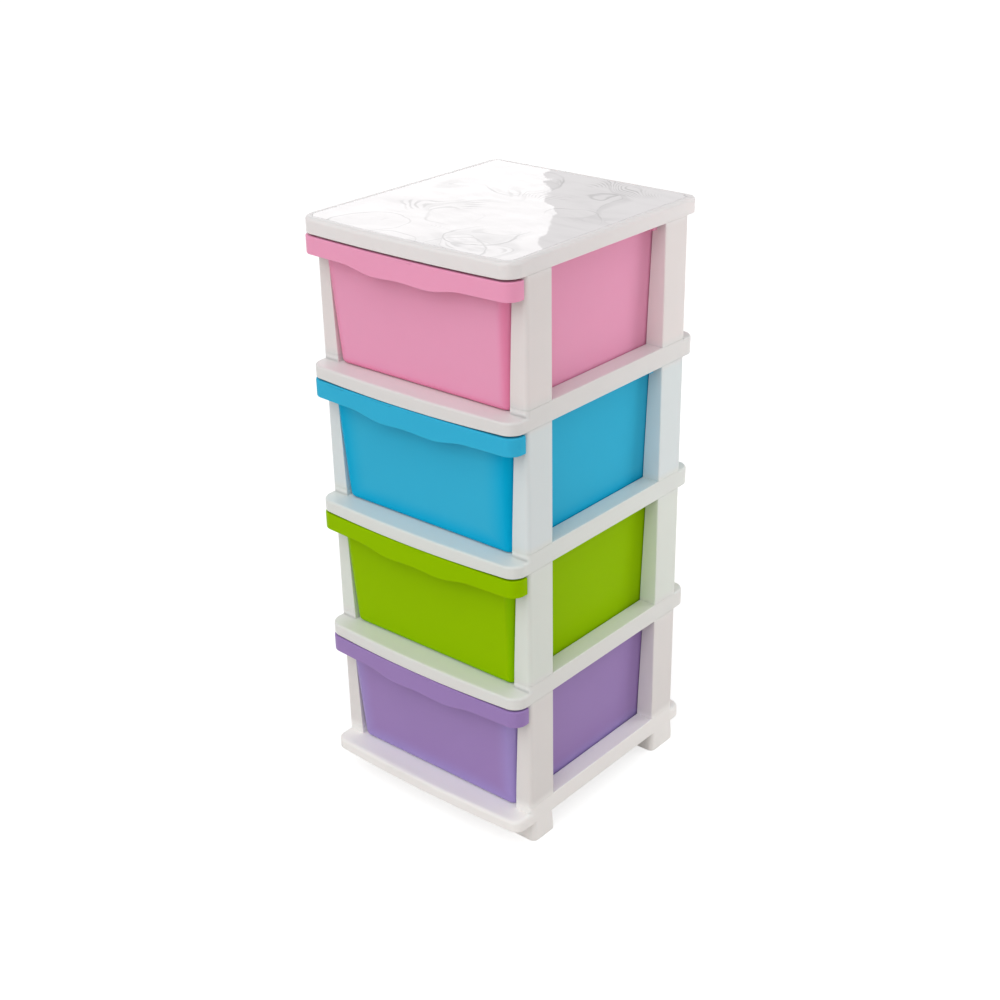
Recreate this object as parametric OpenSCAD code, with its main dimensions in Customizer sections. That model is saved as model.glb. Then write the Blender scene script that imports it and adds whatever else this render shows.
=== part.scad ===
// Four-tier plastic drawer tower: a footed base tray, three shelf trays and a
// lid-like top panel, held apart by sixteen hollow corner posts, with four
// one-piece drawers that slide on the trays' floors between the side rails.
// Millimetres, +Z up, the front faces -Y, origin on the floor under the middle.

/* [Frame] */
// Width over the posts and the side bands
frame_w = 350; // [330:1:370]
// Depth from the front faces of the front posts to the rear faces of the rear posts
frame_d = 337; // [315:1:360]
// Reach of a shelf tray's front lip ahead of the posts
lip_front = 27; // [24:0.5:31]
// Extra reach of the front lips at the middle of their bow
lip_bow = 5; // [2:0.5:8]
// Reach of the trays' ledge behind the rear posts
lip_rear = 26.6; // [20:0.2:30]
// Corner radius of a shelf tray at the front
lip_corner = 21; // [17:0.5:23]
// Corner radius of the trays at the rear
rear_corner = 19; // [12:0.5:20]
// Height of a tray's side band, lower edge to post seat
band_h = 26.8; // [25:0.2:30]
// Height of the post seats and side rails above the tray floor
rail_rise = 9.5; // [8:0.5:11]
// Drop of the shelf trays' raised rear ledge below the post seats
ledge_drop = 1.6; // [0.8:0.2:3]
// Width of a side rail, and of a post at its foot
rail_w = 27.5; // [25.5:0.5:30]
// Thickness of the trays' and the panel's side walls
wall_t = 2.6; // [2.2:0.1:3]
// Thickness of the trays' floors and of the rails' tops
floor_t = 3; // [2.4:0.1:3.6]
// Radius of the rounded upper edge of a shelf tray
tray_edge = 3; // [2:0.5:3.5]
// Extra drop of the front apron at its middle
apron_drop = 1.8; // [0.6:0.2:2.4]
// Depth of the stiffening ribs under the floors
rib_h = 6; // [4:0.5:7]
// Thickness of the stiffening ribs
rib_t = 1.8; // [1.4:0.1:2.2]
// Distance between two stiffening ribs
rib_pitch = 62; // [50:1:70]

/* [Base] */
// Reach of the base tray's front lip ahead of the posts
base_lip = 29; // [26:0.5:32]
// Corner radius of the base tray at the front
base_corner = 16; // [13:0.5:19]
// Radius of the rounded upper edge of the base tray
base_edge = 5; // [3:0.5:6]
// Height of the feet below the base band
foot_h = 32.7; // [26:0.1:38]
// Width of a foot
foot_w = 41; // [36:1:48]
// Depth of a front foot where it leaves the base
front_foot_d = 36.5; // [32:0.5:42]
// Depth of a rear foot where it leaves the base
rear_foot_d = 45; // [40:0.5:48]
// Set-back of the front feet behind the front posts' faces
foot_setback = 6; // [4:0.5:10]
// How far a foot flares toward its lower end
foot_flare = 7.5; // [4:0.5:9]
// Wall thickness of a foot
foot_wall = 2.8; // [2.4:0.1:3.4]
// Radius of the feet's outer front corners
foot_corner = 7.5; // [5:0.5:10]
// Radius of the feet's other upright corners
foot_small_r = 4; // [3.5:0.5:6]

/* [Posts] */
// Height of a post between its two seats
post_h = 168.2; // [140:0.2:200]
// Depth of a front post
front_post_d = 49; // [44:0.5:55]
// Depth of a rear post
rear_post_d = 53; // [47:0.5:58]
// Width of a post at its upper end
post_w_top = 21; // [19:0.5:23]
// Radius of the posts' outer upright corner
post_corner = 7; // [4:0.5:8]
// Radius of the posts' other upright corners
post_small_r = 1.5; // [1:0.1:2]
// Wall thickness of a post
post_wall = 2.4; // [1.8:0.1:3]
// Length of the plug at a post's foot
plug_low = 10; // [6:0.5:11]
// Length of the plug at a post's top
plug_high = 13; // [8:0.5:14]
// Wall thickness of the plugs
plug_wall = 2; // [1.5:0.1:2.6]
// Corner radius of the plugs and of their sockets
plug_corner = 3; // [2:0.5:3.5]

/* [Top] */
// Height of the top panel's rim
top_h = 21; // [18:0.5:26]
// Reach of the top panel ahead of the front posts
top_front = 27.5; // [25:0.5:31]
// Reach of the top panel behind the rear posts
top_rear = 22.5; // [18:0.5:27]
// Corner radius of the top panel at the front
top_corner = 23; // [18:0.5:26]
// Corner radius of the top panel at the rear
top_rear_corner = 15.5; // [12:0.5:18]
// Radius of the rounded upper edge of the top panel
top_edge = 4.5; // [3:0.5:5.5]
// Width of the plain rim round the decorative sheet
film_inset = 9; // [7:0.5:14]
// Thickness of the decorative sheet
film_t = 0.8; // [0.6:0.1:1]

/* [Drawers] */
// Height of the drawers' rim below the tray above
drawer_gap = 3.1; // [2.6:0.1:6]
// Set-back of the drawers' front wall, at its foot, behind the front posts' faces
drawer_setback = 0.5; // [0.2:0.1:3]
// Forward lean of the drawers' front wall over its height
front_lean = 11.8; // [9:0.2:13]
// Set-back of the drawers' rear rim from the rear posts' rear faces
drawer_rear_gap = 12; // [8:1:24]
// Lean of the drawers' rear wall over its height
rear_lean = 6; // [3:0.5:9]
// Wall thickness of a drawer
drawer_wall = 2.2; // [1.8:0.1:2.8]
// Radius of the drawers' upright corners
drawer_corner = 12; // [9:0.5:15]
// Radius of the drawers' lower edges
drawer_edge = 7; // [5:0.5:8]
// Height of the bead round a drawer's rim
bead_h = 3; // [2:0.5:4]
// Wall thickness of the handle lip
lip_wall = 2.4; // [2:0.1:3]
// Radius of the handle lip's upper edge
lip_edge = 2; // [1:0.5:2.4]
// Radius of the handle lip's corners
handle_corner = 18; // [15:0.5:21]
// Drop of the handle lip on both sides of its waves
lip_drop_side = 24.2; // [21:0.1:27]
// Drop of the handle lip at its two deepest waves
lip_drop_deep = 31.3; // [29:0.1:34]
// Drop of the handle lip at the middle
lip_drop_mid = 29.3; // [27.5:0.1:31]
// Distance of the deepest waves from the middle
wave_x = 44; // [38:1:54]
// Distance from the middle where the lip starts to deepen
slope_x = 100; // [85:1:112]
// Thickness of the gussets inside the handle lip
gusset_t = 1.8; // [1.4:0.1:2.4]
// Drop of the gussets inside the handle lip
gusset_h = 12; // [8:0.5:14]
// Length of a stop ear along the slide
ear_l = 8; // [6:0.5:10]
// Height of a stop ear
ear_h = 5.5; // [4:0.5:8]
// Distance of a stop ear's tip from the frame's side
ear_inset = 11.5; // [9:0.5:13]

/* [Clearances] */
// Clearance between a plug and its socket, each side
plug_fit = 0.2; // [0.1:0.05:0.3]
// Clearance under a drawer's bottom
run_clear = 0.3; // [0.2:0.1:0.5]
// Clearance between a drawer and the posts, each side
side_clear = 1.5; // [1.2:0.1:2]
// Clearance between the handle lip and the front posts
lip_clear = 2; // [1:0.1:3]
// Inset of the handle lip's ends from the frame's sides
lip_end_inset = 0.5; // [0.2:0.1:2]
// Clearance between a stop ear and the rear post
ear_clear = 3; // [1:0.5:4]
// Gap left at a stop ear when its drawer is fully out
stop_gap = 0.5; // [0.2:0.1:1]
// Clearance round the decorative sheet
film_fit = 0.3; // [0.2:0.1:0.5]

/* [Hidden] */

half_w = frame_w / 2;
half_d = frame_d / 2;
// shift that puts the origin under the middle of the whole depth
mid_y = (base_lip + lip_bow - lip_rear) / 2;
// level of the base tray's post seats, and the rise from one tray to the next
seat_z = foot_h + band_h;
pitch = post_h + band_h;
// inner edge of a side rail, and of a post's upper end
rail_x = half_w - rail_w;
post_x = half_w - post_w_top;
// front face of the raised rear ledge, under the rounded ends of the rails
ledge_y = half_d - post_corner;
// how far the decorative sheet lies in its recess
film_z = film_t + 0.1;
// travel of a drawer until its ears meet the front posts
ear_y = half_d - rear_post_d - ear_clear - ear_l;
slide_travel = ear_y + half_d - front_post_d - stop_gap;
// upper and lower ends of a drawer above its tray's seats
drawer_top = post_h - drawer_gap;
drawer_bot = run_clear - rail_rise;
// thin slices that build up a rounded edge
slice = 0.02;
edge_steps = [0, 30, 60, 90];
// a hair of overlap where two solids of one piece join
lap = 0.05;
arc_n = 10;
bow_n = 14;
wave_n = 14;
small_fn = 32;
round_fn = 48;

white = [0.94, 0.94, 0.92];
pink = [0.89, 0.58, 0.72];
blue = [0.16, 0.66, 0.82];
green = [0.54, 0.76, 0.04];
purple = [0.58, 0.49, 0.74];

function arc(x, y, r, a0, a1) =
  [for (i = [0:arc_n]) let (a = a0 + (a1 - a0) * i / arc_n) [x + r * cos(a), y + r * sin(a)]];

// Plan outline of a tray: front at yf with a bow, rear at yr, corner radii rf and rr
function outline(w, yf, yr, rf, rr, bow) =
  let (h = w / 2, c = h - rf)
  concat(
    arc(-c, yf + rf, rf, 180, 270),
    [for (i = [1:bow_n - 1]) let (t = 2 * i / bow_n - 1) [t * c, yf - bow * (1 - t * t)]],
    arc(c, yf + rf, rf, 270, 360),
    arc(h - rr, yr - rr, rr, 0, 90),
    arc(rr - h, yr - rr, rr, 90, 180));

// A rectangle with its own radius at each corner, from the low corner anticlockwise
module plan(x0, y0, x1, y1, r) {
  polygon([
    [x0 + r[0], y0],
    [x1 - r[1], y0],
    [x1, y0 + r[1]],
    [x1, y1 - r[2]],
    [x1 - r[2], y1],
    [x0 + r[3], y1],
    [x0, y1 - r[3]],
    [x0, y0 + r[0]]]);
  translate([x0 + r[0], y0 + r[0]]) circle(r[0], $fn = small_fn);
  translate([x1 - r[1], y0 + r[1]]) circle(r[1], $fn = small_fn);
  translate([x1 - r[2], y1 - r[2]]) circle(r[2], $fn = small_fn);
  translate([x0 + r[3], y1 - r[3]]) circle(r[3], $fn = small_fn);
}

// Puts its child at one corner of the frame
module at_corner(front, right) {
  mirror([right ? 0 : 1, 0, 0])
    mirror([0, front ? 0 : 1, 0])
      translate([half_w, -half_d, 0])
        children();
}

// ---------------------------------------------------------------- corner posts
// Built in the corner's own frame: outer face at x = 0, front face at y = 0
module post_taper(low, high, z0, z1, d, inset) {
  translate([0, d - inset, 0])
    rotate([90, 0, 0])
      linear_extrude(d - 2 * inset)
        polygon([[-low + inset, z0], [-inset, z0], [-inset, z1], [-high + inset, z1]]);
}

module plug_plan(d, inset) {
  e = wall_t + inset;
  r = plug_corner;
  plan(-post_w_top + e, e, -e, d - e, [r, r, r, r]);
}

module post(d) {
  s = post_small_r;
  difference() {
    union() {
      intersection() {
        linear_extrude(post_h)
          plan(-rail_w, 0, 0, d, [s, post_corner, s, s]);
        post_taper(rail_w, post_w_top, 0, post_h, d, 0);
      }
      translate([0, 0, -plug_low])
        linear_extrude(plug_low + plug_high + post_h)
          plug_plan(d, plug_fit);
    }
    intersection() {
      translate([0, 0, post_wall])
        linear_extrude(post_h - 2 * post_wall)
          plan(-rail_w, post_wall, -post_wall, d - post_wall, [s, post_corner - post_wall, s, s]);
      post_taper(rail_w, post_w_top, 0, post_h, d, post_wall);
    }
    translate([0, 0, -plug_low - 1])
      linear_extrude(plug_low + plug_high + post_h + 2)
        plan(-post_w_top + wall_t + plug_fit + plug_wall, wall_t + plug_fit + plug_wall,
          -wall_t - plug_fit - plug_wall, d - wall_t - plug_fit - plug_wall,
          [1, 1, 1, 1]);
  }
}

module placed_post(tier, front, right) {
  color(white)
    translate([0, mid_y, seat_z + (tier - 1) * pitch])
      at_corner(front, right)
        post(front ? front_post_d : rear_post_d);
}

// ---------------------------------------------------------------- trays
// Solid with a rounded upper edge over a tray outline, from z0 up to z1
module edged_slab(w, yf, yr, rf, rr, bow, z0, z1, edge) {
  translate([0, 0, z0])
    linear_extrude(z1 - edge - z0 + lap)
      polygon(outline(w, yf, yr, rf, rr, bow));
  hull()
    for (a = edge_steps) {
      i = edge * (1 - cos(a));
      translate([0, 0, z1 - edge + edge * sin(a) - (a > 0 ? slice : 0)])
        linear_extrude(slice)
          polygon(outline(w - 2 * i, yf + i, yr - i, rf - i, rr - i, bow));
    }
}

module rail_plan(inset) {
  r = post_corner - inset;
  plan(rail_x + inset, -half_d + inset, half_w - inset, half_d - inset,
    [1, r, r, 1]);
}

// Side rail whose upper edge carries a fine chamfer, so that the post seams show
module rail() {
  chamfer = 1;
  translate([0, 0, -band_h])
    linear_extrude(band_h - chamfer)
      rail_plan(0);
  hull() {
    translate([0, 0, -chamfer - slice])
      linear_extrude(slice)
        rail_plan(0);
    translate([0, 0, -slice])
      linear_extrude(slice)
        rail_plan(chamfer * 0.6);
  }
}

module rail_cavity() {
  translate([0, 0, -band_h - 1])
    linear_extrude(band_h + 1 - floor_t)
      plan(rail_x + wall_t, -half_d + wall_t, half_w - wall_t, half_d - wall_t,
        [1, plug_corner, plug_corner, 1]);
}

// Walls of one post socket, from z0 to z1, in the corner's own frame
module socket_box(d, z0, z1) {
  s = post_small_r;
  translate([0, 0, z0])
    linear_extrude(z1 - z0)
      plan(-post_w_top, 0, 0, d, [s, post_corner, s, s]);
}

module socket_hole(d, z0, z1) {
  translate([0, 0, z0])
    linear_extrude(z1 - z0)
      plug_plan(d, 0);
}

module sockets() {
  for (front = [true, false])
    for (right = [true, false])
      at_corner(front, right)
        children(front ? 0 : 1);
}

// Crossed ribs hanging from a floor's underside at z, inside x and y limits
module ribs(z, x, y0, y1) {
  ym = (y0 + y1) / 2;
  nx = floor(x / rib_pitch);
  ny = floor((y1 - y0) / 2 / rib_pitch);
  translate([0, 0, z - rib_h]) {
    for (i = [-nx:nx])
      translate([i * rib_pitch - rib_t / 2, y0, 0])
        cube([rib_t, y1 - y0, rib_h + lap]);
    for (j = [-ny:ny])
      translate([-x, ym + j * rib_pitch - rib_t / 2, 0])
        cube([2 * x, rib_t, rib_h + lap]);
  }
}

// The apron's lower edge hangs a little at its middle
module apron(reach, corner) {
  n = 16;
  c = half_w - corner;
  curve = [for (i = [0:n]) let (t = 2 * i / n - 1) [t * c, -band_h - apron_drop * (1 - t * t)]];
  intersection() {
    translate([0, 0, -band_h - apron_drop - 1])
      linear_extrude(apron_drop + 1 + lap)
        difference() {
          polygon(outline(frame_w, -half_d - reach, half_d + lip_rear, corner, rear_corner, lip_bow));
          polygon(outline(frame_w - 2 * wall_t, -half_d - reach + wall_t,
            half_d + lip_rear - wall_t, corner - wall_t, rear_corner - wall_t, lip_bow));
        }
    translate([0, -half_d, 0])
      rotate([90, 0, 0])
        linear_extrude(reach + lip_bow + 1)
          polygon(concat(curve, [[c, -band_h + 1], [-c, -band_h + 1]]));
  }
}

module ledge_plan(inset) {
  r = rear_corner - inset;
  plan(-half_w + inset, ledge_y, half_w - inset, half_d + lip_rear - inset, [1, 1, r, r]);
}

// Ledge across the rear of a shelf tray, nearly as high as the post seats
module rear_ledge() {
  translate([0, 0, -band_h])
    linear_extrude(band_h - ledge_drop - tray_edge + lap)
      ledge_plan(0);
  hull()
    for (a = edge_steps)
      translate([0, 0, -ledge_drop - tray_edge * (1 - sin(a)) - (a > 0 ? slice : 0)])
        linear_extrude(slice)
          ledge_plan(tray_edge * (1 - cos(a)));
}

module ledge_cavity() {
  r = rear_corner - wall_t;
  translate([0, 0, -band_h - 1])
    linear_extrude(band_h + 1 - ledge_drop - floor_t)
      plan(-half_w + wall_t, ledge_y + wall_t, half_w - wall_t, half_d + lip_rear - wall_t, [1, 1, r, r]);
}

// A tray with its seats at z = 0: floor, apron and bands, side rails, post sockets
module tray(reach, corner, edge, raised_rear) {
  y_in = -half_d - reach + wall_t;
  y_out = half_d + lip_rear - wall_t;
  difference() {
    union() {
      difference() {
        union() {
          difference() {
            union() {
              edged_slab(frame_w, -half_d - reach, half_d + lip_rear, corner, rear_corner, lip_bow,
                -band_h, -rail_rise, edge);
              if (raised_rear) rear_ledge();
            }
            translate([0, 0, -band_h - 1])
              linear_extrude(band_h + 1 - rail_rise - floor_t)
                polygon(outline(frame_w - 2 * wall_t, y_in, y_out, corner - wall_t,
                  rear_corner - wall_t, lip_bow));
            if (raised_rear) ledge_cavity();
          }
          rail();
          mirror([1, 0, 0]) rail();
        }
        rail_cavity();
        mirror([1, 0, 0]) rail_cavity();
      }
      sockets() {
        socket_box(front_post_d, -band_h, -floor_t + lap);
        socket_box(rear_post_d, -band_h, -floor_t + lap);
      }
      ribs(-rail_rise - floor_t, rail_x + lap, y_in - lap, (raised_rear ? ledge_y + wall_t : y_out) + lap);
      if (raised_rear)
        ribs(-ledge_drop - floor_t, rail_x + lap, ledge_y + wall_t - lap, y_out + lap);
    }
    sockets() {
      socket_hole(front_post_d, -band_h - 1, 1);
      socket_hole(rear_post_d, -band_h - 1, 1);
    }
  }
}

module shelf_frame(k) {
  color(white)
    translate([0, mid_y, seat_z + k * pitch]) {
      tray(lip_front, lip_corner, tray_edge, true);
      apron(lip_front, lip_corner);
    }
}

// Foot in the corner's own frame: a hollow block that flares toward the floor
module foot(y0, d, z_top) {
  z1 = -band_h - foot_h;
  r = foot_corner;
  s = foot_small_r;
  big = d + foot_flare;
  difference() {
    intersection() {
      translate([0, 0, z1])
        linear_extrude(z_top - z1)
          plan(-foot_w, y0, 0, y0 + big, [s, r, s, s]);
      rotate([90, 0, -90])
        linear_extrude(foot_w)
          polygon([[-y0 - big, z1], [-y0, z1], [-y0, z_top], [-y0 - d, z_top]]);
    }
    intersection() {
      translate([0, 0, z1 - 1])
        linear_extrude(z_top - z1 + 1 - foot_wall)
          plan(-foot_w + foot_wall, y0 + foot_wall, -foot_wall, y0 + big - foot_wall,
            [s - foot_wall, r - foot_wall, s - foot_wall, s - foot_wall]);
      rotate([90, 0, -90])
        translate([0, 0, -1])
          linear_extrude(foot_w + 2)
            polygon([
              [-y0 - big + foot_wall, z1 - 1],
              [-y0 - foot_wall, z1 - 1],
              [-y0 - foot_wall, z_top],
              [-y0 - d + foot_wall, z_top]]);
    }
  }
}

module base_frame() {
  z_top = -rail_rise - floor_t;
  color(white)
    translate([0, mid_y, seat_z])
      difference() {
        union() {
          tray(base_lip, base_corner, base_edge, false);
          for (right = [true, false]) {
            at_corner(true, right)
              foot(foot_setback, front_foot_d, z_top);
            mirror([right ? 0 : 1, 0, 0])
              translate([half_w, half_d - rear_post_d + foot_wall, 0])
                foot(0, rear_foot_d, z_top);
          }
        }
        sockets() {
          socket_hole(front_post_d, -plug_low - 1, 1);
          socket_hole(rear_post_d, -plug_low - 1, 1);
        }
      }
}

// ---------------------------------------------------------------- top panel
module top_outline(inset) {
  polygon(outline(frame_w - 2 * inset, -half_d - top_front + inset, half_d + top_rear - inset,
    top_corner - inset, top_rear_corner - inset, lip_bow));
}

module top_panel() {
  y_in = -half_d - top_front + wall_t;
  y_out = half_d + top_rear - wall_t;
  color(white)
    translate([0, mid_y, seat_z + 3 * pitch + post_h])
      difference() {
        union() {
          difference() {
            edged_slab(frame_w, -half_d - top_front, half_d + top_rear, top_corner,
              top_rear_corner, lip_bow, 0, top_h, top_edge);
            translate([0, 0, -1])
              linear_extrude(top_h + 1 - floor_t)
                top_outline(wall_t);
          }
          sockets() {
            socket_box(front_post_d, 0, top_h - floor_t + lap);
            socket_box(rear_post_d, 0, top_h - floor_t + lap);
          }
          ribs(top_h - floor_t, half_w - wall_t + lap, y_in - lap, y_out + lap);
        }
        sockets() {
          socket_hole(front_post_d, -1, top_h - floor_t);
          socket_hole(rear_post_d, -1, top_h - floor_t);
        }
        translate([0, 0, top_h - film_z])
          linear_extrude(film_z + 1)
            top_outline(film_inset);
      }
}

module top_sheet() {
  color([0.93, 0.93, 0.94])
    translate([0, mid_y, seat_z + 3 * pitch + post_h + top_h - film_z])
      linear_extrude(film_t)
        top_outline(film_inset + film_fit);
}

// ---------------------------------------------------------------- drawers
// Half the width of a drawer at height z, parallel to the posts' inner faces
function drawer_x(z) = rail_x - side_clear + (rail_w - post_w_top) * z / post_h;

// Outer faces of a drawer's leaning front and rear walls at height z
function front_y(z) =
  -half_d + drawer_setback - front_lean * (z - drawer_bot) / (drawer_top - drawer_bot);
function rear_y(z) =
  half_d - drawer_rear_gap - rear_lean * (drawer_top - z) / (drawer_top - drawer_bot);

// One upright corner of the tub, rounded below, as a ring of revolution
module tub_corner(r, e) {
  rotate_extrude($fn = round_fn)
    polygon(concat([[0, 0]], [for (a = [0:18:90]) [r - e + e * sin(a), e - e * cos(a)]],
      [[r, e + 1], [0, e + 1]]));
}

module tub(inset, bottom, top) {
  r = drawer_corner - inset;
  e = drawer_edge - inset;
  i = inset + r;
  hull()
    for (s = [-1, 1]) {
      translate([s * (drawer_x(bottom) - i), front_y(bottom) + i, bottom])
        tub_corner(r, e);
      translate([s * (drawer_x(bottom) - i), rear_y(bottom) - i, bottom])
        tub_corner(r, e);
      translate([s * (drawer_x(top) - i), front_y(top) + i, top - 1])
        cylinder(h = 1, r = r, $fn = round_fn);
      translate([s * (drawer_x(top) - i), rear_y(top) - i, top - 1])
        cylinder(h = 1, r = r, $fn = round_fn);
    }
}

// Bead round the rim, half as proud as the clearance to the posts
module rim_bead() {
  x = drawer_x(drawer_top - bead_h);
  proud = side_clear / 2;
  yf = front_y(drawer_top);
  yr = rear_y(drawer_top);
  r = drawer_corner;
  i = drawer_wall;
  translate([0, 0, drawer_top - bead_h])
    linear_extrude(bead_h)
      difference() {
        plan(-x - proud, yf, x + proud, yr + proud, [r, r, r, r]);
        plan(-x + i, yf + i, x - i, yr - i, [r - i, r - i, r - i, r - i]);
      }
}

// Drop of the handle lip's wavy lower edge below the rim, at a distance x from the middle
function lip_drop(x) =
  let (a = abs(x), wave = lip_drop_deep - lip_drop_mid, rise = lip_drop_deep - lip_drop_side)
  a < wave_x ? lip_drop_deep - wave * (1 + cos(180 * a / wave_x)) / 2 :
  a < slope_x ? lip_drop_side + rise * (1 + cos(180 * (a - wave_x) / (slope_x - wave_x))) / 2 :
  lip_drop_side;

module lip_outline(inset) {
  w = frame_w - 2 * lip_end_inset - 2 * inset;
  difference() {
    polygon(outline(w, -half_d - lip_front + inset, half_d, handle_corner - inset, rear_corner, lip_bow));
    translate([-frame_w, -half_d - lip_clear])
      square([2 * frame_w, 2 * frame_d]);
  }
}

// Inverted-U handle lip ahead of the front posts, with its wavy apron
module handle_lip() {
  z0 = drawer_top - lip_drop_deep - 1;
  past = half_w + 5;
  z_side = drawer_top - lip_drop_side;
  wave = [for (i = [-wave_n:wave_n]) let (x = slope_x * i / wave_n) [x, drawer_top - lip_drop(x)]];
  difference() {
    union() {
      translate([0, 0, z0])
        linear_extrude(drawer_top - lip_edge - z0 + lap)
          lip_outline(0);
      hull()
        for (a = edge_steps) {
          i = lip_edge * (1 - cos(a));
          translate([0, 0, drawer_top - lip_edge + lip_edge * sin(a) - (a > 0 ? slice : 0)])
            linear_extrude(slice)
              lip_outline(i);
        }
    }
    translate([0, 0, z0 - 1])
      linear_extrude(drawer_top - lip_wall - z0 + 1)
        lip_outline(lip_wall);
    // opens the back of the handle between and over the posts
    translate([-half_w + lip_end_inset + lip_wall, -half_d - lip_clear - 2, z0 - 1])
      cube([frame_w - 2 * lip_end_inset - 2 * lip_wall, 4, drawer_top - lip_wall - z0 + 1]);
    translate([0, -half_d, 0])
      rotate([90, 0, 0])
        linear_extrude(lip_front + lip_bow + 1)
          polygon(concat(wave, [[past, z_side], [past, z0 - 2], [-past, z0 - 2], [-past, z_side]]));
  }
  gusset_y = -half_d - lip_front + lip_wall / 2;
  gusset_z = drawer_top - lip_wall - gusset_h;
  for (k = [-1.5, -0.5, 0.5, 1.5])
    translate([k * rib_pitch - gusset_t / 2, gusset_y, gusset_z])
      cube([gusset_t, front_y(gusset_z) + lap - gusset_y, gusset_h + lap]);
}

// Bridge that fills the rim's front corners out to the handle lip, between the front posts
module lip_bridge() {
  x = drawer_x(drawer_top - lip_wall);
  translate([-x, front_y(drawer_top), drawer_top - lip_wall])
    cube([2 * x, drawer_corner, lip_wall]);
}

module stop_ear() {
  z = drawer_top - ear_h - 1;
  x = drawer_x(z) - drawer_wall / 2;
  translate([x, ear_y, z])
    cube([half_w - ear_inset - x, ear_l, ear_h]);
}

module drawer(tier, tint) {
  color(tint)
    translate([0, mid_y, seat_z + (tier - 1) * pitch])
      difference() {
        union() {
          tub(0, drawer_bot, drawer_top);
          rim_bead();
          lip_bridge();
          handle_lip();
          stop_ear();
          mirror([1, 0, 0]) stop_ear();
        }
        tub(drawer_wall, drawer_bot + drawer_wall, drawer_top + 1);
      }
}

base_frame();
shelf_frame(1);  // shelf_frame_1
shelf_frame(2);  // shelf_frame_2
shelf_frame(3);  // shelf_frame_3
top_panel();
top_sheet();
drawer(1, purple);  // drawer_1
drawer(2, green);  // drawer_2
drawer(3, blue);  // drawer_3
drawer(4, pink);  // drawer_4
placed_post(1, true, false);  // post_1_front_left
placed_post(1, true, true);  // post_1_front_right
placed_post(1, false, false);  // post_1_rear_left
placed_post(1, false, true);  // post_1_rear_right
placed_post(2, true, false);  // post_2_front_left
placed_post(2, true, true);  // post_2_front_right
placed_post(2, false, false);  // post_2_rear_left
placed_post(2, false, true);  // post_2_rear_right
placed_post(3, true, false);  // post_3_front_left
placed_post(3, true, true);  // post_3_front_right
placed_post(3, false, false);  // post_3_rear_left
placed_post(3, false, true);  // post_3_rear_right
placed_post(4, true, false);  // post_4_front_left
placed_post(4, true, true);  // post_4_front_right
placed_post(4, false, false);  // post_4_rear_left
placed_post(4, false, true);  // post_4_rear_right
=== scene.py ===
"""Looks of the four-tier plastic drawer tower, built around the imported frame. Metres, +Z up, front to -Y."""

import functools
import math

import bmesh
import bpy
from mathutils import Matrix, Vector


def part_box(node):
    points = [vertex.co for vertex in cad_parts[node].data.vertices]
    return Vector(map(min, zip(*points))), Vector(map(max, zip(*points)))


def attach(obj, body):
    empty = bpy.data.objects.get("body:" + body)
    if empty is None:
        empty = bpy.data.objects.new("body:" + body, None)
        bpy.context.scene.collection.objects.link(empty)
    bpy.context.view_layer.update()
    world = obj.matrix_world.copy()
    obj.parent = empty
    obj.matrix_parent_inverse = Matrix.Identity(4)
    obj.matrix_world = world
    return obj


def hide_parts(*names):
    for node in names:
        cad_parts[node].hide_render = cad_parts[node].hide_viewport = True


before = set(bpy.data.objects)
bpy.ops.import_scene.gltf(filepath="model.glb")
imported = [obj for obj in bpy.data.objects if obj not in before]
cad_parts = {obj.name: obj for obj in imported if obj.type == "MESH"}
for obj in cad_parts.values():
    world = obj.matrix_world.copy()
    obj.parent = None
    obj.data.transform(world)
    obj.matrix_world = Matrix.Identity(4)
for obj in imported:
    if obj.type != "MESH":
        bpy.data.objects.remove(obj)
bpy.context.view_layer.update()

# ------------------------------------------------------------------ base tray
# The lowest tray stands on four short hollow feet. Tray and feet are one injection moulding of white
# polypropylene: a thin floor with raised side rails, a bowed front lip and ribs below.
FRAME_EDGE = 0.0006  # the small round that the mould leaves on the frame's corners
SHARP_CORNER = math.radians(35)
FLAT = math.radians(0.6)
SEAM_GAP = 5e-5
ROOM = 1.2  # a round needs a neighbouring edge this many times as long as itself


def roomy_corners(skin, reach):
    """The outward corners of a skin whose neighbouring edges leave room for a small round."""
    corners = {e for e in skin.edges if e.is_manifold and e.is_convex and e.calc_face_angle() > SHARP_CORNER}
    cramped = corners
    while cramped:
        cramped = {e for e in corners for end in e.verts for other in end.link_edges
                   if other not in corners and other.calc_length() < reach}
        corners = corners - cramped
    return [e for e in skin.edges if e in corners]


def softened(node, name, edge, trim=None):
    """A copy of a CAD node as one closed skin, with the small round that a mould leaves on its corners."""
    skin = bmesh.new()
    skin.from_mesh(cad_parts[node].data)
    bmesh.ops.remove_doubles(skin, verts=skin.verts, dist=SEAM_GAP)
    if trim:
        trim(skin)
        bmesh.ops.remove_doubles(skin, verts=skin.verts, dist=SEAM_GAP)
    bmesh.ops.dissolve_degenerate(skin, dist=SEAM_GAP, edges=skin.edges)
    bmesh.ops.dissolve_limit(skin, angle_limit=FLAT, verts=skin.verts, edges=skin.edges)
    bmesh.ops.bevel(skin, geom=roomy_corners(skin, ROOM * edge), offset=edge, segments=2, profile=0.5,
                    affect="EDGES", clamp_overlap=False, material=-1)
    for face in skin.faces:
        face.smooth = True
    mesh = bpy.data.meshes.new(name)
    skin.to_mesh(mesh)
    skin.free()
    piece = bpy.data.objects.new(name, mesh)
    bpy.context.scene.collection.objects.link(piece)
    mesh.set_sharp_from_angle(angle=SHARP_CORNER)
    piece.modifiers.new("even_shading", "WEIGHTED_NORMAL").keep_sharp = True
    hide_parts(node)
    return piece


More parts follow.
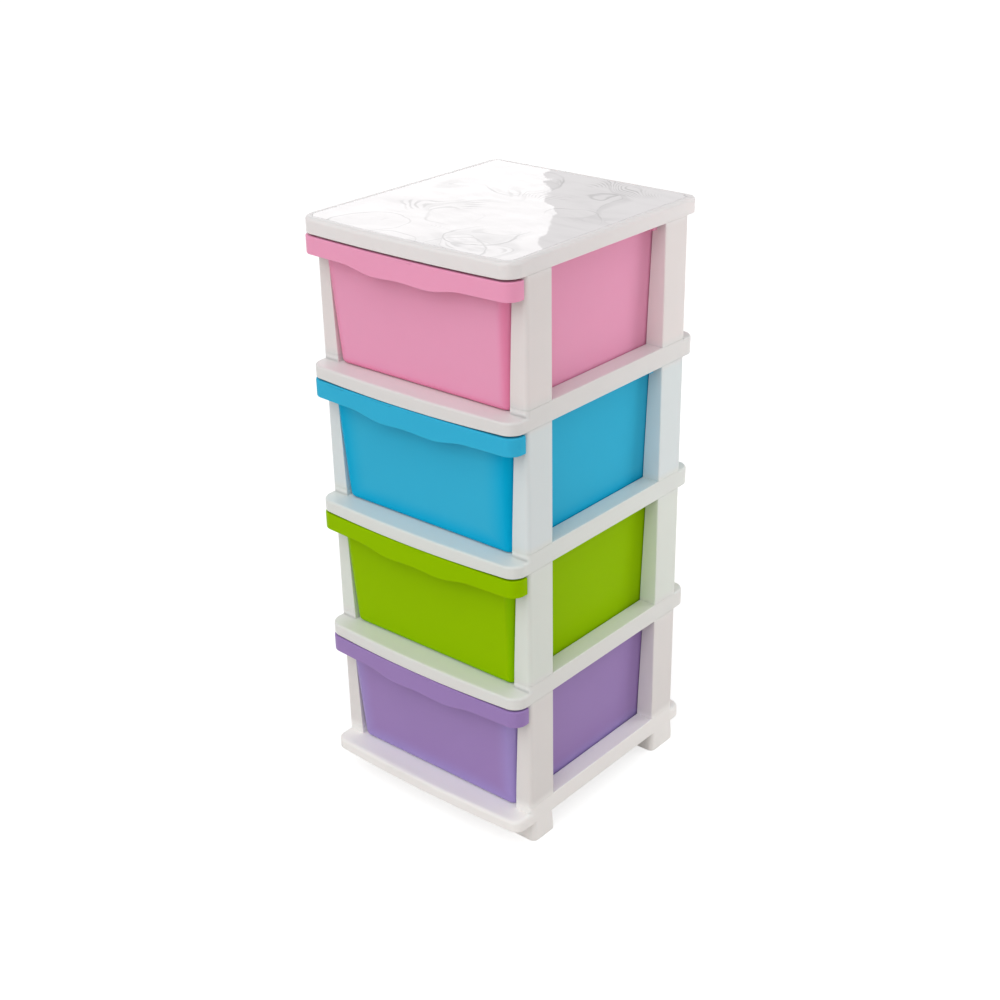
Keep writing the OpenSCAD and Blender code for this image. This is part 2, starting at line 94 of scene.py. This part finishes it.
class Wire:
    """A socket of a finish. Sums on wires add Math nodes, and node() adds any other one."""

    def __init__(self, socket):
        self.socket = socket
        self.tree = socket.id_data

    def node(self, kind, settings, inputs, output=0):
        made = self.tree.nodes.new(kind)
        for key, value in settings.items():
            if key == "stops":
                self.set_stops(made.color_ramp, value)
            else:
                setattr(made, key, value)
        for key, value in inputs.items():
            if isinstance(value, Wire):
                self.tree.links.new(value.socket, made.inputs[key])
            else:
                made.inputs[key].default_value = value
        return Wire(made.outputs[output])

    @staticmethod
    def set_stops(ramp, stops):
        while len(ramp.elements) < len(stops):
            ramp.elements.new(0.5)
        for element, (place, colour) in zip(ramp.elements, stops):
            element.position = place
            element.color = colour

    def maths(self, operation, first, second=0.0):
        return self.node("ShaderNodeMath", {"operation": operation}, {0: first, 1: second})

    def absolute(self):
        return self.maths("ABSOLUTE", self)

    def larger(self, other):
        return self.maths("MAXIMUM", self, other)

    def __add__(self, other):
        return self.maths("ADD", self, other)

    def __radd__(self, other):
        return self.maths("ADD", other, self)

    def __sub__(self, other):
        return self.maths("SUBTRACT", self, other)

    def __rsub__(self, other):
        return self.maths("SUBTRACT", other, self)

    def __mul__(self, other):
        return self.maths("MULTIPLY", self, other)

    def __rmul__(self, other):
        return self.maths("MULTIPLY", other, self)


def new_finish(name):
    """An empty material with its Principled shader, and a wire of the piece's own coordinates."""
    finish = bpy.data.materials.new(name)
    finish.use_nodes = True
    shader = finish.node_tree.nodes["Principled BSDF"]
    place = finish.node_tree.nodes.new("ShaderNodeTexCoord")
    return finish, shader, Wire(place.outputs["Object"])


def feed(wire, shader, socket):
    """Link a wire to one of a shader's sockets."""
    wire.tree.links.new(wire.socket, shader.inputs[socket])


PLASTIC_IOR = 1.49
GLOW_SPREAD = (0.005, 0.004, 0.004)
UNEVEN_GLOSS = 0.16
GRAIN_HEIGHT = 0.00002
SWELL_HEIGHT = 0.0003


def moulded_plastic(name, tint, shade, roughness, shine, glint, glow, painted_light):
    """Injection-moulded polypropylene: a faint flow mottle, a fine grain and slightly uneven gloss."""
    finish, shader, place = new_finish(name)
    shader.inputs["IOR"].default_value = PLASTIC_IOR
    shader.inputs["Specular IOR Level"].default_value = shine
    shader.inputs["Specular Tint"].default_value = glint
    shader.inputs["Subsurface Weight"].default_value = glow
    shader.inputs["Subsurface Radius"].default_value = GLOW_SPREAD
    shader.inputs["Subsurface Scale"].default_value = 1.0
    flow = place.node("ShaderNodeTexNoise", {},
                      {"Vector": place, "Scale": 9.0, "Detail": 3.0, "Roughness": 0.55})
    mottle = place.node("ShaderNodeMix", {"data_type": "RGBA"}, {"Factor": flow, "A": shade, "B": tint},
                        "Result")
    # the mottle is multiplied by the painted light and shade that each finish is given
    colour = place.node("ShaderNodeMix", {"data_type": "RGBA", "blend_type": "MULTIPLY"},
                        {"Factor": 1.0, "A": mottle, "B": painted_light(place)}, "Result")
    feed(colour, shader, "Base Color")
    scuffs = place.node("ShaderNodeTexNoise", {},
                        {"Vector": place, "Scale": 46.0, "Detail": 5.0, "Roughness": 0.6})
    feed(scuffs * UNEVEN_GLOSS + (roughness - UNEVEN_GLOSS / 2), shader, "Roughness")
    grain = place.node("ShaderNodeTexNoise", {}, {"Vector": place, "Scale": 1300.0, "Detail": 2.0})
    swell = place.node("ShaderNodeTexNoise", {}, {"Vector": place, "Scale": 26.0, "Detail": 1.0})
    height = grain * GRAIN_HEIGHT + swell * SWELL_HEIGHT
    bump = place.node("ShaderNodeBump", {}, {"Height": height, "Strength": 0.55, "Distance": 1.0}, "Normal")
    feed(bump, shader, "Normal")
    return finish


FRAME_TINT = (0.87, 0.865, 0.86, 1)
FRAME_SHADE = (0.83, 0.822, 0.815, 1)
WHITE = (1, 1, 1, 1)
# The white is slightly translucent. Its colour is multiplied by painted light: each tier's posts carry a
# painted tint of the light bounced from its drawer, and the trays painted shade (the shelves darker) or
# painted light (the base tray lighter and warmer, the top panel faintly pink). The tints are given from the
# floor up.
POST_PAINTED_BOUNCE = ((0.90, 0.87, 0.855), (0.87, 0.925, 0.86), (0.855, 0.935, 0.955), (0.965, 0.905, 0.90))
TRAY_PAINTED_LIGHT = ((1.06, 1.04, 1.02), (0.89, 0.90, 0.875), (0.88, 0.92, 0.89), (0.90, 0.89, 0.885),
              (1.0, 0.965, 0.97))
PAINTED_LIGHT_BLUR = 0.012  # of the tower's height


def painted_tier_light(place):
    """Painted light and shade on the frame: one tint for each tray, and one for the posts between two trays.
    """
    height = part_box("top_panel")[1][2]
    stops = []
    for tier, (tray, posts) in enumerate(zip(TRAY_PAINTED_LIGHT, POST_PAINTED_BOUNCE), start=1):
        low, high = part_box(f"post_{tier}_front_left")
        foot, head = low[2] / height, high[2] / height
        stops += [(foot + PAINTED_LIGHT_BLUR, tray), (foot + 2 * PAINTED_LIGHT_BLUR, posts),
                  (head - 2 * PAINTED_LIGHT_BLUR, posts), (head - PAINTED_LIGHT_BLUR, TRAY_PAINTED_LIGHT[tier])]
    up = place.node("ShaderNodeSeparateXYZ", {}, {"Vector": place}, "Z")
    return place.node("ShaderNodeValToRGB", {"stops": [(at, (*painted_light, 1)) for at, painted_light in stops]},
                      {"Fac": up * (1 / height)}, "Color")


frame_white = moulded_plastic("frame_white", FRAME_TINT, FRAME_SHADE, roughness=0.36, shine=0.25,
                              glint=WHITE, glow=0.2, painted_light=painted_tier_light)


def dress_tower(node, trim=None):
    """Put a frame moulding, in the frame's white, in the place of its CAD node."""
    piece = softened(node, node + "_moulding", FRAME_EDGE, trim)
    piece.data.materials.clear()
    piece.data.materials.append(frame_white)
    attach(piece, "tower")


dress_tower("base_frame")

# ------------------------------------------------------------------ posts
# Sixteen hollow corner posts, each one moulding of the same white polypropylene with a tapered inner face.
# The plugs on their ends are pushed into square sockets in the trays, and nothing else holds them.
for tier in (1, 2, 3, 4):
    for corner in ("front_left", "front_right", "rear_left", "rear_right"):
        dress_tower(f"post_{tier}_{corner}")

# ------------------------------------------------------------------ shelf trays
# Three equal trays carry the upper drawers. Each is one white moulding like the base tray, without feet,
# and is held between the posts below it and those above it.
for level in (1, 2, 3):
    dress_tower(f"shelf_frame_{level}")

# ------------------------------------------------------------------ top panel
# A lid-like white moulding with a rounded rim caps the uppermost posts and holds the sheet. Its front rib
# stops inside the rim here, where the CAD lets it show outside the two round corners.
RIB_END = (0.167, -0.183, 0.824)  # outside, in front of and above this, only the ends of the rib lie


def flush_rib(skin):
    """Take off the square ends of the rib outside the round corners, and close the rim behind them."""
    skin.normal_update()
    ends = [face for face in skin.faces if max(abs(part) for part in face.normal) > math.cos(FLAT)
            and all(abs(v.co.x) > RIB_END[0] and v.co.y < RIB_END[1] and v.co.z > RIB_END[2]
                    for v in face.verts)]
    bmesh.ops.delete(skin, geom=ends, context="FACES")
    rims = [edge for edge in skin.edges if edge.is_boundary]
    bmesh.ops.holes_fill(skin, edges=rims, sides=0)


dress_tower("top_panel", flush_rib)

# ------------------------------------------------------------------ top sheet
# A thin glossy plastic sheet, printed with soft grey veins like marble under a clear film. It is cut to the
# shape of the panel's shallow recess and lies in it.
SHEET_EDGE = 0.0002
SHEET_IOR = 1.5
SHEET_WHITE = (0.86, 0.825, 0.835, 1)
SHEET_VEIN = (0.40, 0.385, 0.39, 1)
SHEET_RIPPLE = 0.0035
# thin loops in the print: cells per metre, radius in cells, shift of the cells, line width and darkness
RINGS = ((5.2, 0.30, 0.0, 0.014, 0.75), (5.2, 0.265, 0.0, 0.03, 0.3), (7.4, 0.31, 3.1, 0.016, 0.6))
# contour lines of soft hills: their level, width and darkness
RIDGES = ((0.44, 0.005, 0.5), (0.45, 0.03, 0.3))
VEIN_SWAY = 0.07
VEIN_FADE = (0.34, 0.58)
FOLDS = 260.0  # radians of waves from the foot of the hills to their top
FOLD_SHARE = (-0.4, 1.0)
FOLD_PATCH = (0.57, 0.68)
FOLD_DARKNESS = 0.6
STREAK_COUNT = (16.0, 70.0, 1.0)
STREAK_MIDDLE = 0.45
STREAK_DARKNESS = 0.5
FILM_POLISH = 0.02
FILM_HAZE = 0.03


def ease(wire, start, stop):
    """A soft step from 0 where the wire is at start to 1 where it is at stop."""
    return wire.node("ShaderNodeMapRange", {"interpolation_type": "SMOOTHSTEP"},
                     {"Value": wire, "From Min": start, "From Max": stop}, "Result")


def marble_sheet():
    """Printed marble: thin grey loops that fade in and out and patches of layered waves, under a film."""
    finish, shader, place = new_finish("sheet_marble")
    shader.inputs["IOR"].default_value = SHEET_IOR
    drift = place.node("ShaderNodeTexNoise", {}, {"Vector": place, "Scale": 9.0, "Detail": 2.5}, "Color")
    bent = place.node("ShaderNodeMix", {"data_type": "VECTOR", "factor_mode": "UNIFORM"},
                      {"Factor": VEIN_SWAY, "A": place, "B": drift}, "Result")
    fade = ease(place.node("ShaderNodeTexNoise", {}, {"Vector": place, "Scale": 9.0, "Detail": 1.0}),
                *VEIN_FADE)
    veins = []
    for scale, radius, shift, width, darkness in RINGS:
        moved = bent.node("ShaderNodeVectorMath", {"operation": "ADD"}, {0: bent, 1: (shift, shift, 0.0)},
                          "Vector")
        spread = moved.node("ShaderNodeTexVoronoi", {"feature": "F1"}, {"Vector": moved, "Scale": scale},
                            "Distance")
        veins.append(ease((spread - radius).absolute(), width, 0.0) * fade * darkness)
    hills = place.node("ShaderNodeTexNoise", {}, {"Vector": bent, "Scale": 8.0, "Detail": 0.6})
    for level, width, darkness in RIDGES:
        veins.append(ease((hills - level).absolute(), width, 0.0) * fade * darkness)
    folds = ease(hills.maths("SINE", hills * FOLDS), *FOLD_SHARE)
    patch = ease(place.node("ShaderNodeTexNoise", {}, {"Vector": place, "Scale": 9.5, "Detail": 2.0}),
                 *FOLD_PATCH)
    long_way = bent.node("ShaderNodeVectorMath", {"operation": "MULTIPLY"}, {0: bent, 1: STREAK_COUNT},
                         "Vector")
    streaks = long_way.node("ShaderNodeTexNoise", {}, {"Vector": long_way, "Scale": 1.0, "Detail": 4.0})
    printed = functools.reduce(Wire.larger, veins).larger(folds * patch * FOLD_DARKNESS)
    tone = printed + (streaks - STREAK_MIDDLE) * STREAK_DARKNESS
    colour = place.node("ShaderNodeMix", {"data_type": "RGBA"},
                        {"Factor": tone, "A": SHEET_WHITE, "B": SHEET_VEIN}, "Result")
    feed(colour, shader, "Base Color")
    haze = place.node("ShaderNodeTexNoise", {}, {"Vector": place, "Scale": 30.0, "Detail": 3.0})
    feed(haze * FILM_HAZE + FILM_POLISH, shader, "Roughness")
    ripple = place.node("ShaderNodeTexNoise", {}, {"Vector": place, "Scale": 9.0, "Detail": 2.0})
    bump = place.node("ShaderNodeBump", {},
                      {"Height": ripple * SHEET_RIPPLE, "Strength": 1.0, "Distance": 1.0}, "Normal")
    feed(bump, shader, "Normal")
    return finish


sheet = softened("top_sheet", "top_sheet_print", SHEET_EDGE)
sheet.data.materials.clear()
sheet.data.materials.append(marble_sheet())
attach(sheet, "tower")

# ------------------------------------------------------------------ drawers
# Each drawer is one moulding of coloured polypropylene: a tapered tub whose front rim turns over into a
# handle lip with a wavy lower edge. It slides on the tray's floor between the side rails.
DRAWER_EDGE = 0.0008
# by tier: the slot, the plastic's two tones, and the painted light and shade along the tub's corners and floor
# edge, paler as a painted bounce from below on purple
DRAWER_TINTS = {
    4: ("drawer_pink", (0.92, 0.385, 0.575, 1), (0.88, 0.36, 0.545, 1), (1.0, 0.65, 0.78, 1)),
    3: ("drawer_blue", (0.045, 0.49, 0.75, 1), (0.042, 0.46, 0.71, 1), (0.0, 0.9, 1.0, 1)),
    2: ("drawer_green", (0.31, 0.555, 0.0, 1), (0.29, 0.525, 0.0, 1), (0.76, 1.0, 0.0, 1)),
    1: ("drawer_purple", (0.355, 0.235, 0.52, 1), (0.335, 0.22, 0.49, 1), (1.06, 1.24, 1.22, 1)),
}
# a strong mirrored white would wash out the two purest colours
DRAWER_SHINE = {4: 0.1, 3: 0.015, 2: 0.015, 1: 0.1}
# the tub's outer walls, at its floor and at its rim: half its width, its front and its back
TUB_HALF = (0.146, 0.1524)
TUB_FRONT = (-0.1643, -0.1761)
TUB_BACK = 0.161
# by tier: how far the painted light and shade reach from the upright corners, and from the floor
CORNER_PAINT_REACH = {4: 0.018, 3: 0.045, 2: 0.012, 1: 0.035}
FOOT_PAINT_REACH = {4: 0.012, 3: 0.03, 2: 0.01, 1: 0.03}
OFF_WALL = (-0.004, -0.001)  # outside the tub's walls by this much lie its lip and ears, which get no painted light or shade


def painted_corner_mask(place, tier):
    """One along the tub's upright corners and lower edges, where light through the thick corners and the shade
    at the floor are painted.
    """
    low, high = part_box(f"drawer_{tier}")
    parts = place.tree.nodes.new("ShaderNodeSeparateXYZ")
    place.tree.links.new(place.socket, parts.inputs["Vector"])
    x, y, z = (Wire(parts.outputs[axis]) for axis in "XYZ")
    rise = (z - low[2]) * (1 / (high[2] - low[2]))
    half = rise * (TUB_HALF[1] - TUB_HALF[0]) + TUB_HALF[0]
    front = rise * (TUB_FRONT[1] - TUB_FRONT[0]) + TUB_FRONT[0]
    inward = half - x.absolute()
    side = ease(inward, CORNER_PAINT_REACH[tier], 0.0)
    ends = ease(y - front, CORNER_PAINT_REACH[tier], 0.0).larger(ease(TUB_BACK - y, CORNER_PAINT_REACH[tier], 0.0))
    foot = ease(z - low[2], FOOT_PAINT_REACH[tier], 0.0)
    corner = (side * ends).larger(foot * side).larger(foot * ends)
    return corner * (ease(y - front, *OFF_WALL) * ease(inward, *OFF_WALL))


def painted_corner_light(tier, corner_paint, place):
    """A drawer's painted light and shade: none on its walls, and the given tint along the tub's corners and
    floor edge.
    """
    return place.node("ShaderNodeMix", {"data_type": "RGBA"},
                      {"Factor": painted_corner_mask(place, tier), "A": WHITE, "B": corner_paint}, "Result")


for tier, (slot, tint, shade, corner_paint) in DRAWER_TINTS.items():
    hue = tuple(value / max(tint[:3]) for value in tint[:3])
    tub = softened(f"drawer_{tier}", f"drawer_{tier}_moulding", DRAWER_EDGE)
    tub.data.materials.clear()
    tub.data.materials.append(moulded_plastic(slot, tint, shade, roughness=0.34, shine=DRAWER_SHINE[tier],
                                              glint=(*hue, 1), glow=0.25,
                                              painted_light=functools.partial(painted_corner_light, tier, corner_paint)))
    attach(tub, f"drawer_body_{tier}")

# ------------------------------------------------------------------ studio
# A plain pale paper floor under a broad soft overhead light and an even sky, with a soft box behind the left
# side and two fills at the right. The camera stands where the photograph's did.
FLOOR_HALF = 40.0
PAPER_WHITE = (0.50, 0.50, 0.50, 1)
PAPER_PALE = (0.48, 0.48, 0.48, 1)
PAPER_GLOW = (0.70, 0.70, 0.70, 1)
ROOM_FLOOR = (0.85, 0.80, 0.77, 1)
NO_GLOW = (0, 0, 0, 1)


def seen_directly(tree):
    """One on rays from the camera and on mirrored ones, so that the backdrop is white there."""
    rays = tree.nodes.new("ShaderNodeLightPath")
    camera_ray, glossy_ray, clear_ray = (
        Wire(rays.outputs[kind]) for kind in ("Is Camera Ray", "Is Glossy Ray", "Is Transmission Ray"))
    return camera_ray.maths("MINIMUM", camera_ray + glossy_ray + clear_ray, 1.0)


ground = bmesh.new()
bmesh.ops.create_grid(ground, x_segments=1, y_segments=1, size=FLOOR_HALF)
floor_mesh = bpy.data.meshes.new("floor")
ground.to_mesh(floor_mesh)
ground.free()
floor = bpy.data.objects.new("floor", floor_mesh)
bpy.context.scene.collection.objects.link(floor)
paper, paper_shader, paper_place = new_finish("floor_paper")
paper_shader.inputs["Roughness"].default_value = 0.9
paper_shader.inputs["Specular IOR Level"].default_value = 0.0
paper_shader.inputs["Emission Strength"].default_value = 1.0
fibres = paper_place.node("ShaderNodeTexNoise", {}, {"Vector": paper_place, "Scale": 3.0})
paper_white = paper_place.node("ShaderNodeMix", {"data_type": "RGBA"},
                               {"Factor": fibres, "A": PAPER_WHITE, "B": PAPER_PALE}, "Result")
seen = seen_directly(paper.node_tree)
feed(seen.node("ShaderNodeMix", {"data_type": "RGBA"}, {"Factor": seen, "A": ROOM_FLOOR, "B": paper_white},
               "Result"), paper_shader, "Base Color")
feed(seen.node("ShaderNodeMix", {"data_type": "RGBA"}, {"Factor": seen, "A": NO_GLOW, "B": PAPER_GLOW},
               "Result"), paper_shader, "Emission Color")
floor.data.materials.append(paper)

SKY = 0.43
world = bpy.data.worlds.new("studio")
bpy.context.scene.world = world
world.use_nodes = True
backdrop = world.node_tree.nodes["Background"]
feed(seen_directly(world.node_tree) * (1.0 - SKY) + SKY, backdrop, "Strength")
backdrop.inputs["Color"].default_value = WHITE


def lamp(name, kind, strength, azimuth, elevation, reach=4.0, aim=0.0, **settings):
    """A lamp that shines on the tower at a height, from a direction (0 is the front) and a steepness."""
    light = bpy.data.lights.new(name, kind)
    light.energy = strength
    for key, value in settings.items():
        setattr(light, key, value)
    holder = bpy.data.objects.new(name, light)
    a, e = math.radians(azimuth), math.radians(elevation)
    towards = Vector((math.sin(a) * math.cos(e), -math.cos(a) * math.cos(e), math.sin(e)))
    holder.rotation_euler = towards.to_track_quat("Z", "Y").to_euler()
    holder.location = towards * reach + Vector((0.0, 0.0, aim))
    bpy.context.scene.collection.objects.link(holder)
    return holder


lamp("overhead", "SUN", strength=1.42, azimuth=4, elevation=49, angle=math.radians(60))
# the soft box's image lies in the glossy top sheet, and the fills brighten the right side and the rear posts
sheet_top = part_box("top_sheet")[1][2]
soft_box = lamp("soft_box", "AREA", strength=5.8, azimuth=-131.2, elevation=15, aim=sheet_top,
                shape="RECTANGLE", size=1.5, size_y=1.3)
side_fill = lamp("side_fill", "AREA", strength=2.2, azimuth=44, elevation=24, reach=2.6,
                 aim=0.3 * sheet_top, shape="DISK", size=1.2)
rear_fill = lamp("rear_fill", "AREA", strength=4.4, azimuth=138, elevation=18, reach=1.3,
                 aim=0.4 * sheet_top, shape="DISK", size=0.7)
for box in (soft_box, side_fill, rear_fill):
    box.visible_camera = False
for fill in (side_fill, rear_fill):
    fill.visible_glossy = False

CAMERA_AT = (1.29996, -1.52961, 1.36557)
YAW = math.radians(39.6545)
PITCH = math.radians(26.4626)
ROLL = math.radians(-0.6844)
camera = bpy.data.objects.new("photo_camera", bpy.data.cameras.new("photo_camera"))
camera.data.sensor_width = 36.0
camera.data.lens = 57.038
camera.data.shift_x = -0.02451
camera.data.shift_y = 0.03078
camera.matrix_world = (
    Matrix.Translation(CAMERA_AT)
    @ Matrix.Rotation(YAW, 4, "Z")
    @ Matrix.Rotation(math.pi / 2 - PITCH, 4, "X")
    @ Matrix.Rotation(ROLL, 4, "Z")
)
bpy.context.scene.collection.objects.link(camera)
bpy.context.scene.camera = camera
bpy.context.scene.view_settings.view_transform = "Standard"
